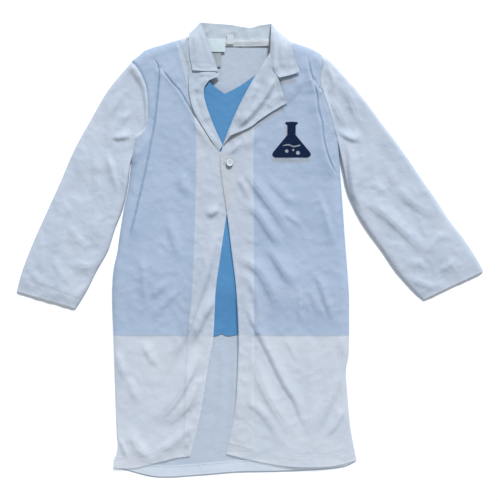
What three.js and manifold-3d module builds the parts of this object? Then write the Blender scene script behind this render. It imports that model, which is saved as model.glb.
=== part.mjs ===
// A child's white dress-up lab coat, laid flat on its back with the front up.
// Millimetres, +Z up, +Y towards the collar. The wearer's right side is at -X.
// The origin is under the middle of the coat, on the surface that it lies on.
// Every cloth layer is a thin slab at its own height, so layers never touch.
import * as THREE from "three";
import { mergeVertices } from "three/addons/utils/BufferGeometryUtils.js";
import Module from "manifold-3d";

const wasm = await Module();
wasm.setup();

// ---------------------------------------------------------------- heights
const GAP = 0.3; // air between two layers that lie on each other
const CLOTH = 1.0; // one layer of shell cloth with its drape
const THIN = 0.6; // a hem, facing or label layer
const COLLAR_PLY = 0.7; // one of the two layers of a collar or lapel
const ROOM = 6.0; // the space inside for the body, between the back and the insert

// One layer above another: [bottom, top].
const above = (layer, thickness) => [layer[1] + GAP, layer[1] + GAP + thickness];
const BACK = [0, 1.2];
const BACK_HEM = above(BACK, 0.8);
const SEAM_STRIP = [BACK[1] + GAP, BACK[1] + ROOM - GAP];
const INSERT_TRIM = [BACK[1] + ROOM, BACK[1] + ROOM + 0.5];
const INSERT = above(INSERT_TRIM, 0.8);
const FACING_RIGHT = above(INSERT, THIN);
const FRONT_RIGHT = above(FACING_RIGHT, CLOTH);
const FACING_LEFT = above(FRONT_RIGHT, THIN);
const FRONT_LEFT = above(FACING_LEFT, CLOTH);
const PRINT = above(FRONT_LEFT, THIN / 2);
const LEFT_UNDER = above(FRONT_LEFT, COLLAR_PLY); // folded lapel and collar, lower ply
const LEFT_UPPER = above(LEFT_UNDER, COLLAR_PLY);
const RIGHT_UPPER = above([0, FRONT_RIGHT[0] - GAP], COLLAR_PLY);
const RIGHT_TOP = above(RIGHT_UPPER, COLLAR_PLY);
const BAND_OUTER = [0, 1.1]; // the collar behind the neck lies on the surface
const BAND_INNER = above(BAND_OUTER, 1.1);
const TAG = above(BACK, THIN);
const TAG_OVER = [BAND_INNER[1] + GAP, BAND_INNER[1] + GAP + THIN];
const SLEEVE = [0, FRONT_RIGHT[1] - 0.6];
const SLEEVE_WALL = 1.2;
const SIDE_DROP = 0.4; // how far the collar's left side lies below the front's top

// ---------------------------------------------------------------- edges, seen from above
const SHOULDER_RIGHT = [[-200, 320], [-187, 330], [-173, 340], [-121, 357], [-107, 361]];
const SHOULDER_LEFT = [[66, 355], [89, 347], [107, 340], [122, 330]];
const NECK_SEAM = [[-107, 361], [-71, 355], [-18, 353], [34, 354], [66, 355]];
const SIDE_RIGHT = [
  [-202, 192], [-200, 167], [-204, 117], [-213, 73], [-220, 30], [-224, 0], [-231, -34],
  [-233, -85], [-230, -187], [-226, -306], [-224, -330], [-232, -370],
];
const SIDE_LEFT = [
  [148, 192], [155, 102], [161, 17], [165, -34], [168, -85], [168, -170], [163, -204],
  [165, -238], [170, -298], [181, -357],
];
const BACK_HEM_EDGE = [
  [-232, -370], [-209, -374], [-169, -384], [-136, -386], [-78, -382], [-17, -377],
  [42, -376], [95, -374], [156, -369], [181, -357],
];
const SLEEVE_RIGHT = {
  outer: [
    [-200, 320], [-240, 272], [-270, 221], [-298, 170], [-320, 119], [-343, 68],
    [-366, 17], [-386, -34], [-396, -70],
  ],
  inner: [
    [-296, -99], [-277, -68], [-260, -34], [-241, 0], [-230, 34], [-216, 71], [-207, 110],
    [-204, 144], [-203, 192],
  ],
};
const SLEEVE_LEFT = {
  outer: [
    [122, 330], [134, 322], [165, 289], [194, 255], [219, 221], [245, 187], [269, 153],
    [292, 119], [316, 85], [338, 51], [364, 17], [386, -17], [396, -36],
  ],
  inner: [
    [294, -84], [277, -68], [247, -34], [224, 0], [199, 34], [179, 68], [165, 102],
    [158, 136], [149, 192],
  ],
};

// Fold lines. Each runs from one free edge to another, so a flap turns without tearing.
const CLOSURE_LEFT = [-40, 193]; // the front edge just below the left lapel
const HEM_CORNER_LEFT = [181, -357];
const CLOSURE_RIGHT = [-40, 58]; // where the right front comes out from under the left
const HEM_CORNER_RIGHT = [-232, -370];
const ROLL_LEFT = [[-37, 198], [34, 333], [51, 366]]; // lapel and collar leaf, one fold
const ROLL_RIGHT = [[-57, 185], [-99, 302]];
const COLLAR_FOLD_RIGHT = [[-96, 304], [-83, 385.5]];

const EDGE_LEFT = [
  [-40, 193], [-46, 176], [-50, 153], [-47, 119], [-39, 65], [-31, 0], [-23, -68],
  [-19, -145], [-20, -189], [-23, -250], [-29, -296], [-40, -346],
];
const HEM_LEFT = [[-40, -346], [9, -358], [69, -367], [136, -367], [181, -357]];
const EDGE_RIGHT = [
  [-40, 58], [-50, -10], [-58, -68], [-62, -144], [-70, -189], [-82, -265], [-94, -320],
  [-102, -350],
];
const HEM_RIGHT = [[-102, -350], [-126, -353], [-150, -359], [-197, -370], [-232, -370]];
const UNDERLAP_RIGHT = [[-50, 185], [-40, 172], [-26, 155], [-20, 147], [-22, 120], [-31, 88], [-40, 58]];
const FACING_WIDTH_LEFT = 7; // the left facing's inner edge runs straight at this X
const FACING_EDGE_RIGHT = [[-125, 355], [-112, 300], [-97, 240], [-91, 182], [-93, 60], [-98, -72]];
const INSERT_HEM_Y = -145;
const INSERT_NECK = [[-118, 357], [-88, 310], [-66, 282], [-43, 264], [10, 297], [40, 322], [74, 352]];
const BUTTON_AT = [-34, 147];

// ---------------------------------------------------------------- drawing helpers
const vector = ([x, y]) => new THREE.Vector2(x, y);

// A smooth curve through hand-set points, with a few steps for each stretch.
function curve(list, steps = 3) {
  if (list.length === 2) return list.map(vector);
  return new THREE.SplineCurve(list.map(vector)).getPoints((list.length - 1) * steps);
}

// The same edge moved sideways, to the left of its direction of travel.
function shifted(edge, distance) {
  return edge.map((p, i) => {
    const before = edge[Math.max(i - 1, 0)];
    const after = edge[Math.min(i + 1, edge.length - 1)];
    const along = after.clone().sub(before).normalize();
    return new THREE.Vector2(p.x - along.y * distance, p.y + along.x * distance);
  });
}

// The point of an edge's straight line at a given Y.
const atY = ([a, b], y) => [a[0] + ((b[0] - a[0]) * (y - a[1])) / (b[1] - a[1]), y];

// Half a circle from one point to another, turning clockwise or counter-clockwise.
function halfRound(from, to, turn, steps = 20) {
  const centre = vector(from).add(vector(to)).multiplyScalar(0.5);
  const radius = vector(from).distanceTo(centre);
  const start = Math.atan2(from[1] - centre.y, from[0] - centre.x);
  return Array.from({ length: steps + 1 }, (_, i) => {
    const angle = start + (turn * Math.PI * i) / steps;
    return new THREE.Vector2(
      centre.x + radius * Math.cos(angle),
      centre.y + radius * Math.sin(angle),
    );
  });
}

// A closed outline from stretches that meet end to end.
function outline(...stretches) {
  const all = stretches.flat().map((p) => (Array.isArray(p) ? vector(p) : p));
  return all.filter((p, i) => p.distanceTo(all[(i + 1) % all.length]) > 0.05);
}

function slab(edge, [bottom, top]) {
  return new THREE.ExtrudeGeometry(new THREE.Shape(edge), {
    depth: top - bottom,
    bevelEnabled: false,
  }).translate(0, 0, bottom);
}

// A disc as thick as a layer, or taller by a margin where it is a cutting tool.
function disc([x, y], radius, [bottom, top], margin = 0, segments = 32) {
  return new THREE.CylinderGeometry(radius, radius, top - bottom + 2 * margin, segments)
    .rotateX(Math.PI / 2)
    .translate(x, y, (top + bottom) / 2);
}

const box = (x0, x1, y0, y1, [z0, z1]) =>
  new THREE.BoxGeometry(x1 - x0, y1 - y0, z1 - z0).translate(
    (x0 + x1) / 2,
    (y0 + y1) / 2,
    (z0 + z1) / 2,
  );

function solid(geometry) {
  const bare = geometry.clone();
  bare.deleteAttribute("normal");
  bare.deleteAttribute("uv");
  const merged = mergeVertices(bare, 1e-4);
  return new wasm.Manifold(
    new wasm.Mesh({
      numProp: 3,
      vertProperties: merged.attributes.position.array,
      triVerts: new Uint32Array(merged.index.array),
    }),
  );
}

function geometryOf(manifold) {
  const mesh = manifold.getMesh();
  const geometry = new THREE.BufferGeometry();
  geometry.setAttribute("position", new THREE.BufferAttribute(mesh.vertProperties, 3));
  geometry.setIndex(new THREE.BufferAttribute(mesh.triVerts, 1));
  geometry.computeVertexNormals();
  return geometry;
}

const cut = (geometry, ...tools) =>
  geometryOf(tools.reduce((left, tool) => left.subtract(solid(tool)), solid(geometry)));
const keep = (geometry, tool) => geometryOf(solid(geometry).intersect(solid(tool)));

// ---------------------------------------------------------------- materials
const cloth = (color, roughness = 0.85) =>
  new THREE.MeshStandardMaterial({ color, roughness, metalness: 0 });
const WHITE = cloth(0xdfe6f0);
const WHITE_INSIDE = cloth(0xb9c3d0);
const BLUE = cloth(0x5a97cc);
const NAVY = cloth(0x1c2e50, 0.6);
const SATIN = cloth(0xe4eef3, 0.45);
const THREAD = cloth(0xe8edf2, 0.8);
const PLASTIC = new THREE.MeshStandardMaterial({ color: 0xe9eef5, roughness: 0.35, metalness: 0 });

const coat = new THREE.Group();
coat.name = "lab_coat";
function add(name, geometry, material) {
  const mesh = new THREE.Mesh(geometry, material);
  mesh.name = name;
  coat.add(mesh);
}

// ---------------------------------------------------------------- back and sides
// The armholes are round sockets, so that the round sleeve heads can turn in them.
const SOCKET_GAP = 0.5;

// A disc as tall as a layer, to cut the socket of one sleeve out of it.
function socket({ outer, inner }, [bottom, top]) {
  const shoulder = vector(outer[0]);
  const underarm = vector(inner[inner.length - 1]);
  const middle = shoulder.clone().add(underarm).multiplyScalar(0.5);
  const radius = shoulder.distanceTo(middle) + SOCKET_GAP;
  return disc([middle.x, middle.y], radius, [bottom, top], 1, 48);
}

const withArmholes = (geometry, layer) =>
  cut(geometry, socket(SLEEVE_RIGHT, layer), socket(SLEEVE_LEFT, layer));

function backPanel() {
  const edge = outline(
    curve(SHOULDER_RIGHT),
    curve(NECK_SEAM),
    curve(SHOULDER_LEFT),
    curve(SIDE_LEFT),
    curve(BACK_HEM_EDGE).reverse(),
    curve(SIDE_RIGHT).reverse(),
  );
  return withArmholes(slab(edge, BACK), BACK);
}

// A turned hem: a strip of the given width along an edge, a little inside it.
function hemStrip(edge, width, layer, side = 1) {
  const inset = 1;
  return slab(
    outline(shifted(edge, side * inset), shifted(edge, side * width).reverse()),
    layer,
  );
}

// The seam allowances inside each side seam keep the front and back apart at the edge.
function sideSeam(edge, side) {
  const below = edge.filter(([, y]) => y < 180 && y > -350);
  return hemStrip(curve(below), 10, SEAM_STRIP, side);
}

add("back_panel", backPanel(), WHITE_INSIDE);
add("back_hem", hemStrip(curve(BACK_HEM_EDGE.slice(1, -1)), 20, BACK_HEM), WHITE);
add("side_seam_right", sideSeam(SIDE_RIGHT, 1), WHITE);
add("side_seam_left", sideSeam(SIDE_LEFT, -1), WHITE);

// ---------------------------------------------------------------- blue shirt insert
const upTo = (edge, y) => edge.filter((p) => (p.y ?? p[1]) > y);

function insertOutline() {
  const left = upTo(curve(SIDE_LEFT), INSERT_HEM_Y);
  const right = upTo(curve(SIDE_RIGHT), INSERT_HEM_Y);
  return outline(
    curve([[-200, 320], [-187, 330], [-173, 340], [-121, 357]]),
    curve(INSERT_NECK),
    curve([[76, 351], [89, 347], [107, 340], [122, 330]]),
    left,
    [[168, INSERT_HEM_Y], [-30, INSERT_HEM_Y - 3], [-231, INSERT_HEM_Y]],
    right.reverse(),
  );
}

add("shirt_insert", withArmholes(slab(insertOutline(), INSERT), INSERT), BLUE);
add(
  "insert_hem",
  slab(
    outline([[-218, -144], [-30, -147], [155, -144], [155, -134], [-30, -137], [-218, -134]]),
    INSERT_TRIM,
  ),
  BLUE,
);
add(
  "insert_neck_facing",
  hemStrip(curve(INSERT_NECK.slice(1, -1)), 13, INSERT_TRIM, -1),
  BLUE,
);

// ---------------------------------------------------------------- fronts
const FOLD_GAP = 0.2; // half of the slit between a flap and what it is folded on

// Everything on one side of a fold line, as a big slab that cuts or keeps.
function sideOf(from, to, side, layer, reach = 900) {
  const line = shifted([vector(from), vector(to)], side * FOLD_GAP);
  const far = shifted([vector(from), vector(to)], side * reach);
  const along = vector(to).sub(vector(from)).normalize().multiplyScalar(reach);
  const [a, b] = [line[0].clone().sub(along), line[1].clone().add(along)];
  const [c, d] = [far[1].clone().add(along), far[0].clone().sub(along)];
  return slab([a, b, c, d], [layer[0] - 1, layer[1] + 1]);
}

const BUTTONHOLE_RADIUS = 7; // a round stand-in for the slit, wide enough for the button

function leftFrontOutline() {
  return outline(
    curve(ROLL_LEFT.slice(0, 2)),
    curve([[34, 333], [44, 350], [66, 355]]),
    curve(SHOULDER_LEFT),
    curve(SIDE_LEFT),
    curve(HEM_LEFT).reverse(),
    curve(EDGE_LEFT).reverse(),
  );
}

function rightFrontOutline() {
  return outline(
    curve(SHOULDER_RIGHT),
    curve([[-107, 361], [-104, 345], [-102, 322], ROLL_RIGHT[1]]),
    [ROLL_RIGHT[0]],
    curve(UNDERLAP_RIGHT),
    curve(EDGE_RIGHT),
    curve(HEM_RIGHT),
    curve(SIDE_RIGHT).reverse(),
  );
}

function facingLeftOutline() {
  const x = FACING_WIDTH_LEFT;
  return outline(
    curve(ROLL_LEFT.slice(0, 2)),
    [[44, 349], [55, 351]],
    curve([[38, 300], [20, 250], [x, 204]]),
    [[x, -345], [-38, -337]],
    shifted(upTo(curve(EDGE_LEFT), -334), 0.8).reverse(),
  );
}

function facingRightOutline() {
  return outline(
    [[-109, 357], [-104, 322], ROLL_RIGHT[1], ROLL_RIGHT[0]],
    curve(UNDERLAP_RIGHT),
    curve(EDGE_RIGHT),
    [[-108, -340], [-104, -145]],
    curve(FACING_EDGE_RIGHT).reverse(),
  );
}

// The flap lies on the +1 side of the left fold line and on the -1 side of the right one.
const foldLeft = (geometry, layer, flap) =>
  keep(geometry, sideOf(CLOSURE_LEFT, HEM_CORNER_LEFT, flap ? -1 : 1, layer));
const foldRight = (geometry, layer, flap) =>
  keep(geometry, sideOf(CLOSURE_RIGHT, HEM_CORNER_RIGHT, flap ? 1 : -1, layer));

const holed = (geometry, layer) => cut(geometry, disc(BUTTON_AT, BUTTONHOLE_RADIUS, layer, 1));
const leftFront = withArmholes(holed(slab(leftFrontOutline(), FRONT_LEFT), FRONT_LEFT), FRONT_LEFT);
const leftFacing = holed(slab(facingLeftOutline(), FACING_LEFT), FACING_LEFT);
const rightFront = withArmholes(slab(rightFrontOutline(), FRONT_RIGHT), FRONT_RIGHT);
const rightFacing = slab(facingRightOutline(), FACING_RIGHT);

add("front_left", foldLeft(leftFront, FRONT_LEFT, false), WHITE);
add("front_skirt_left", foldLeft(leftFront, FRONT_LEFT, true), WHITE);
add("facing_left", foldLeft(leftFacing, FACING_LEFT, false), WHITE);
add("facing_skirt_left", foldLeft(leftFacing, FACING_LEFT, true), WHITE);
add("front_right", foldRight(rightFront, FRONT_RIGHT, false), WHITE);
add("front_skirt_right", foldRight(rightFront, FRONT_RIGHT, true), WHITE);
add("facing_right", foldRight(rightFacing, FACING_RIGHT, false), WHITE);
add("facing_skirt_right", foldRight(rightFacing, FACING_RIGHT, true), WHITE);

const leftHem = [[10, -358.5], [69, -367], [136, -367], [172, -359]];
const rightHem = [[-112, -351], [-150, -359], [-197, -370], [-222, -370]];
add(
  "front_hem_left",
  foldLeft(hemStrip(curve(leftHem), 20, FACING_LEFT), FACING_LEFT, true),
  WHITE,
);
add(
  "front_hem_right",
  foldRight(hemStrip(curve(rightHem), 20, FACING_RIGHT, -1), FACING_RIGHT, true),
  WHITE,
);

// ---------------------------------------------------------------- lapels and collar
const LAPEL_LEFT_EDGE = [[48, 290], [55, 265], [64, 249], [37, 233], [16, 219], [0, 206], [-33, 196]];
const LEAF_LEFT_EDGE = [[54, 364], [65, 352], [74, 332], [80, 311], [84, 300]];
const LAPEL_RIGHT_EDGE = [[-93, 301], [-69, 286], [-77, 273], [-76, 252], [-62, 212], [-50.5, 185.5]];

function lapelLeft(layer) {
  const gorge = [[37, 332], [41, 303.5]];
  return slab(
    outline([[-32, 199], ...gorge.slice(0, 1)], [[41, 303], [48, 290]], curve(LAPEL_LEFT_EDGE, 2)),
    layer,
  );
}

function leafLeft(layer) {
  return slab(
    outline([[38, 333.5], [52, 362]], curve(LEAF_LEFT_EDGE), [[70, 295], [49, 291], [42, 304]]),
    layer,
  );
}

// It lies a little lower than the front, so that the leaf can turn over it.
function sideBandLeft(layer) {
  return slab(outline([[33.5, 338], [36, 384], [44, 374], [49, 366]]), layer).translate(0, 0, -SIDE_DROP);
}

function lapelRight(layer) {
  const line = [ROLL_RIGHT[0], ROLL_RIGHT[1]];
  const top = atY(line, 301.5);
  const low = atY(line, 185.5);
  return slab(
    outline([[low[0] + 0.5, low[1]], [top[0] + 0.5, top[1]]], LAPEL_RIGHT_EDGE),
    layer,
  );
}

function leafRight(layer) {
  const [low, top] = COLLAR_FOLD_RIGHT;
  return slab(
    outline(
      [[low[0] + 0.5, low[1]], [top[0] + 0.5, top[1] - 1]],
      curve([[-78, 362], [-71, 340], [-63, 326], [-54, 306]]),
    ),
    layer,
  );
}

function sideBandRight(layer) {
  const [low, top] = COLLAR_FOLD_RIGHT;
  return slab(
    outline(
      [[low[0] - 1, low[1] + 4], [top[0] - 0.5, top[1]]],
      curve([[-94, 374], [-101, 364], [-101, 340], [-99, 323]]),
    ),
    layer,
  );
}

function backBand(layer) {
  const seam = curve(NECK_SEAM.slice(1, -1)).map((p) => vector([p.x, p.y + GAP + 0.3]));
  return slab(
    outline(
      curve([[-82, 386], [-60, 384], [-32, 382], [-1, 377], [16, 381], [33, 384]]),
      seam.reverse(),
    ),
    layer,
  );
}

add("lapel_left", lapelLeft(LEFT_UNDER), WHITE);
add("lapel_left_facing", lapelLeft(LEFT_UPPER), WHITE);
add("collar_leaf_left_under", leafLeft(LEFT_UNDER), WHITE);
add("collar_leaf_left", leafLeft(LEFT_UPPER), WHITE);
add("collar_side_left", sideBandLeft(FRONT_LEFT), WHITE);
add("lapel_right", lapelRight(FRONT_RIGHT), WHITE);
add("lapel_right_facing", lapelRight(FACING_RIGHT), WHITE);
add("collar_leaf_right_under", leafRight(RIGHT_UPPER), WHITE);
add("collar_leaf_right", leafRight(RIGHT_TOP), WHITE);
add("collar_side_right", sideBandRight(RIGHT_UPPER), WHITE);
add("collar_back_outer", backBand(BAND_OUTER), WHITE);
add("collar_back_inner", backBand(BAND_INNER), WHITE_INSIDE);

// ---------------------------------------------------------------- neck tape and labels
const neckTape = curve(NECK_SEAM.slice(1, -1)).map((p) => vector([p.x, p.y - 1]));
add("neck_tape", hemStrip(neckTape, 9, BACK_HEM, -1), WHITE);
add("brand_label", box(-72, -42, 336, 356, TAG_OVER), SATIN);
add("care_label", box(-65, -49, 311, 340, TAG), SATIN);
add("size_tab", box(-39, -28, 349, 366, TAG_OVER), SATIN);

// ---------------------------------------------------------------- sleeves
// A flattened tube, open at the cuff and at the round sleeve head. It is one cloth, modelled
// as its front, its back, the fold along the arm and the seam under the arm.
const SLEEVE_RIM = 2.5; // how far the fold and the seam reach in from the edge
const SLEEVE_HEM = 20;
const SLEEVE_BACK = [SLEEVE[0], SLEEVE[0] + SLEEVE_WALL];
const SLEEVE_FRONT = [SLEEVE[1] - SLEEVE_WALL, SLEEVE[1]];
const SLEEVE_SIDES = [SLEEVE_BACK[1] + GAP, SLEEVE_FRONT[0] - GAP];

function addSleeve(name, { outer, inner }, turn) {
  const out = curve(outer, 2);
  const back = curve(inner, 2);
  const head = halfRound(inner[inner.length - 1], outer[0], turn);
  const rim = turn * SLEEVE_RIM;
  const band = (edge) => outline(edge, shifted(edge, rim).reverse());
  add(`${name}_front`, slab(outline(out, back, head), SLEEVE_FRONT), WHITE);
  add(`${name}_back`, slab(outline(out, back, head), SLEEVE_BACK), WHITE);
  add(`${name}_fold`, slab(band(out), SLEEVE_SIDES), WHITE);
  add(`${name}_seam`, slab(band(back), SLEEVE_SIDES), WHITE);
}

// The cuff hem: a flat ring inside the end of the tube.
function sleeveHem({ outer, inner }, turn) {
  const cuffOuter = vector(outer[outer.length - 1]);
  const cuffInner = vector(inner[0]);
  const up = cuffInner.clone().sub(cuffOuter).normalize();
  const inward = new THREE.Vector2(-up.y, up.x).multiplyScalar(turn);
  const place = (across, along) => {
    const width = cuffInner.distanceTo(cuffOuter);
    const start = cuffOuter.clone().add(up.clone().multiplyScalar(across * width));
    return start.add(inward.clone().multiplyScalar(along));
  };
  const ring = (side, start, end) =>
    [place(side, start), place(1 - side, start), place(1 - side, end), place(side, end)];
  const [low, top] = SLEEVE_SIDES;
  return cut(
    slab(ring(0.1, 2, SLEEVE_HEM), [low, top]),
    slab(ring(0.13, -10, SLEEVE_HEM + 10), [low + THIN, top - THIN]),
  );
}

addSleeve("sleeve_right", SLEEVE_RIGHT, 1);
addSleeve("sleeve_left", SLEEVE_LEFT, -1);
add("sleeve_hem_right", sleeveHem(SLEEVE_RIGHT, 1), WHITE);
add("sleeve_hem_left", sleeveHem(SLEEVE_LEFT, -1), WHITE);

// ---------------------------------------------------------------- button
const BUTTON_RADIUS = 5.75;
const BUTTON_BASE = FRONT_LEFT[1] + 0.8;

function button() {
  const profile = [
    [0, 0], [4.2, 0], [5.4, 0.4], [BUTTON_RADIUS, 1.1], [BUTTON_RADIUS, 1.9], [5.3, 2.5],
    [4.6, 2.6], [3.9, 2.1], [3.2, 1.9], [0, 1.9],
  ].map(vector);
  const body = new THREE.LatheGeometry(profile, 32).rotateX(Math.PI / 2);
  const hole = (x, y) =>
    new THREE.CylinderGeometry(0.75, 0.75, 8, 12).rotateX(Math.PI / 2).translate(x, y, 1);
  const drilled = cut(body, hole(1.3, 1.3), hole(-1.3, 1.3), hole(-1.3, -1.3), hole(1.3, -1.3));
  return drilled.translate(BUTTON_AT[0], BUTTON_AT[1], BUTTON_BASE);
}

function buttonThread() {
  const low = FRONT_RIGHT[1] + GAP;
  const tall = BUTTON_BASE - 0.6 - low;
  const shank = [
    [0, 0], [1.8, 0], [1.8, 0.3], [1.1, 0.7], [1.1, tall - 0.4], [1.4, tall], [0, tall],
  ];
  return new THREE.LatheGeometry(shank.map(vector), 16)
    .rotateX(Math.PI / 2)
    .translate(BUTTON_AT[0], BUTTON_AT[1], low);
}

const stitchRing = cut(
  disc(BUTTON_AT, BUTTONHOLE_RADIUS + 1.5, PRINT),
  disc(BUTTON_AT, BUTTONHOLE_RADIUS + 0.3, PRINT, 1),
);
add("button", button(), PLASTIC);
add("button_thread", buttonThread(), THREAD);
add("buttonhole_stitch", stitchRing, THREAD);

// ---------------------------------------------------------------- chest print
// A plain conical flask with a liquid line and three bubbles.
function chestPrint() {
  const [x, y] = [70, 186];
  const flask = [
    [-9, 30], [9, 30], [11, 28], [9, 26], [7, 25], [7, 8], [31, -21], [32, -26], [28, -30],
    [-28, -30], [-32, -26], [-31, -21], [-7, 8], [-7, 25], [-9, 26], [-11, 28],
  ].map(([dx, dy]) => [x + dx, y + dy]);
  const level = [[-14, -9], [-5, -7], [4, -10], [14, -8], [15, -10], [4, -12.5], [-5, -9.5], [-15, -11]];
  const line = slab(outline(level.map(([dx, dy]) => [x + dx, y + dy])), [PRINT[0] - 1, PRINT[1] + 1]);
  const bubbles = [[-8, -19, 3], [3, -17, 2], [11, -22, 3.4]].map(([dx, dy, radius]) =>
    disc([x + dx, y + dy], radius, PRINT, 1, 16),
  );
  return cut(slab(outline(flask), PRINT), line, ...bubbles);
}
add("chest_emblem", chestPrint(), NAVY);

export default coat;
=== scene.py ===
import math

import bpy
import numpy as np
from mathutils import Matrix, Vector
from mathutils.geometry import delaunay_2d_cdt


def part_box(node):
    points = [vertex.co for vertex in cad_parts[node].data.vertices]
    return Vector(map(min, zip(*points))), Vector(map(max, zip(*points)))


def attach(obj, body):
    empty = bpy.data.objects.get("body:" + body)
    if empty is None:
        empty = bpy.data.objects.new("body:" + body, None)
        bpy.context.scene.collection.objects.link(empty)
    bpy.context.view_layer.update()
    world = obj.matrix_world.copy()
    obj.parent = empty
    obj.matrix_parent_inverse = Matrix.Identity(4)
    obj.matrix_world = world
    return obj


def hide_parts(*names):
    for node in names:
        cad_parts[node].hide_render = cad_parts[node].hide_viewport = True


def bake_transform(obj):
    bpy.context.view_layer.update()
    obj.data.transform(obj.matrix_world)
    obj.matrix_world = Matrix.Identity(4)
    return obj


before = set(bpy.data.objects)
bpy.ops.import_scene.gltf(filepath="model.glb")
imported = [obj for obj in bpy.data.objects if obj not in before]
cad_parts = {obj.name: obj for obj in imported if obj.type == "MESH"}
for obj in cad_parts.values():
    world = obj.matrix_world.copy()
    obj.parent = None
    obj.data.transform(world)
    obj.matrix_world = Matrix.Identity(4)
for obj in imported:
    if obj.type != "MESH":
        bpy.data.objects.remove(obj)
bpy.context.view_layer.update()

MM = 0.001
SINGLE = 0.45  # thickness of one layer of cloth
DOUBLE = 0.9  # thickness of two plies


def level(node):
    """The middle height of a CAD layer, in mm."""
    low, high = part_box(node)
    return (low.z + high.z) / 2 / MM


# ------------------------------------------------------------------ outlines, in mm
SHOULDER_RIGHT = [(-200, 320), (-187, 330), (-173, 340), (-121, 357), (-107, 361)]
SHOULDER_LEFT = [(66, 355), (89, 347), (107, 340), (122, 330)]
NECK_SEAM = [(-107, 361), (-71, 355), (-18, 353), (34, 354), (66, 355)]
SIDE_RIGHT = [
    (-202, 192), (-200, 167), (-204, 117), (-213, 73), (-220, 30), (-224, 0), (-231, -34),
    (-233, -85), (-230, -187), (-226, -306), (-224, -330), (-232, -370),
]
SIDE_LEFT = [
    (148, 192), (155, 102), (161, 17), (165, -34), (168, -85), (168, -170), (163, -204),
    (165, -238), (170, -298), (181, -357),
]
BACK_HEM = [
    (-232, -370), (-209, -374), (-169, -384), (-136, -386), (-78, -382), (-17, -377),
    (42, -376), (95, -374), (156, -369), (181, -357),
]
ARMHOLE_RIGHT = [
    (-200, 320), (-190, 307), (-184, 297), (-176, 277), (-173, 252), (-173, 225),
    (-176, 211), (-184, 201), (-202, 192),
]
ARMHOLE_LEFT = [
    (122, 330), (124, 312), (120, 298), (120, 282), (126, 262), (134, 240), (141, 216), (148, 192),
]
SLEEVE_RIGHT = {
    "outer": [
        (-200, 320), (-240, 272), (-270, 221), (-298, 170), (-320, 119), (-343, 68),
        (-366, 17), (-386, -34), (-396, -70),
    ],
    "inner": [
        (-202, 192), (-204, 144), (-207, 110), (-216, 71), (-230, 34), (-241, 0),
        (-260, -34), (-277, -68), (-296, -99),
    ],
    "seam": ARMHOLE_RIGHT,
}
SLEEVE_LEFT = {
    "outer": [
        (122, 330), (134, 322), (165, 289), (194, 255), (219, 221), (245, 187), (269, 153),
        (292, 119), (316, 85), (338, 51), (364, 17), (386, -17), (396, -36),
    ],
    "inner": [
        (148, 192), (158, 136), (165, 102), (179, 68), (199, 34), (224, 0), (247, -34),
        (277, -68), (294, -84),
    ],
    "seam": ARMHOLE_LEFT,
}
ROLL_LEFT = [(-46, 176), (-36, 203), (-24, 231), (-12, 256), (10, 296), (34, 333)]
ROLL_RIGHT = [
    (-107, 361), (-112, 335), (-105, 312), (-104, 290), (-102, 261), (-96, 238), (-84, 215),
    (-67, 188), (-52, 167),
]
EDGE_LEFT = [
    (-46, 176), (-50, 153), (-47, 119), (-39, 65), (-31, 0), (-23, -68), (-19, -145),
    (-20, -189), (-23, -250), (-29, -296), (-40, -346),
]
HEM_LEFT = [(-40, -346), (9, -358), (69, -367), (136, -367), (181, -357)]
EDGE_RIGHT = [
    (-40, 58), (-50, -10), (-58, -68), (-62, -144), (-70, -189), (-82, -265), (-94, -320),
    (-102, -350),
]
HEM_RIGHT = [(-102, -350), (-126, -353), (-150, -359), (-197, -370), (-232, -370)]
UNDERLAP = [(-52, 167), (-36, 160), (-23, 150), (-22, 120), (-31, 88), (-40, 58)]
FACING_EDGE_LEFT = [(46, 345), (38, 300), (20, 250), (7, 204), (6, 60), (7, -150), (7, -340)]
FACING_EDGE_RIGHT = [
    (-125, 352), (-112, 300), (-97, 240), (-91, 182), (-93, 60), (-98, -72), (-104, -145),
    (-112, -345),
]
INSERT_NECK = [(-118, 355), (-88, 310), (-66, 282), (-43, 264)]
INSERT_NECK_LEFT = [(-43, 264), (-18, 277), (10, 297), (40, 322), (74, 350)]
INSERT_HEM_Y = -145
SHIRT_HEM = [
    (168, -145), (40, -145), (-12, -143), (-38, -146), (-48, -142), (-62, -146), (-120, -145), (-231, -145),
]
BUTTON = (-34, 147)


# ------------------------------------------------------------------ curves and distances
def resample(p, count):
    """A given number of evenly spaced points on a line."""
    along = np.concatenate([[0], np.cumsum(np.linalg.norm(np.diff(p, axis=0), axis=1))])
    at = np.linspace(0, along[-1], count)
    return np.stack([np.interp(at, along, p[:, k]) for k in range(2)], axis=1)


def smooth(points, step=4.0):
    """Evenly spaced points on a smooth curve through given points."""
    p = np.array(points, float)
    if len(p) > 2:
        ends = [2 * p[0] - p[1], *p, 2 * p[-1] - p[-2]]
        out = []
        for a, b, c, d in zip(ends, ends[1:], ends[2:], ends[3:]):
            t = np.linspace(0, 1, 12, endpoint=False)[:, None]
            out.append(0.5 * (2 * b + (c - a) * t + (2 * a - 5 * b + 4 * c - d) * t**2
                              + (3 * b - a - 3 * c + d) * t**3))
        p = np.vstack([*out, p[-1:]])
    length = np.cumsum(np.linalg.norm(np.diff(p, axis=0), axis=1))[-1]
    return resample(p, max(2, round(length / step) + 1))


def shifted(line, distance, step=6.0):
    """A line moved to the left of its travel."""
    p = smooth(line, step)
    d = np.gradient(p, axis=0)
    d /= np.linalg.norm(d, axis=1)[:, None]
    return p + np.column_stack([-d[:, 1], d[:, 0]]) * distance


def outline(*stretches, step=4.0):
    """A closed outline: smooth stretches that meet at corners."""
    p = np.vstack([smooth(s, step) for s in stretches])
    keep = np.linalg.norm(p - np.roll(p, -1, axis=0), axis=1) > 0.3
    return p[keep]


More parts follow.
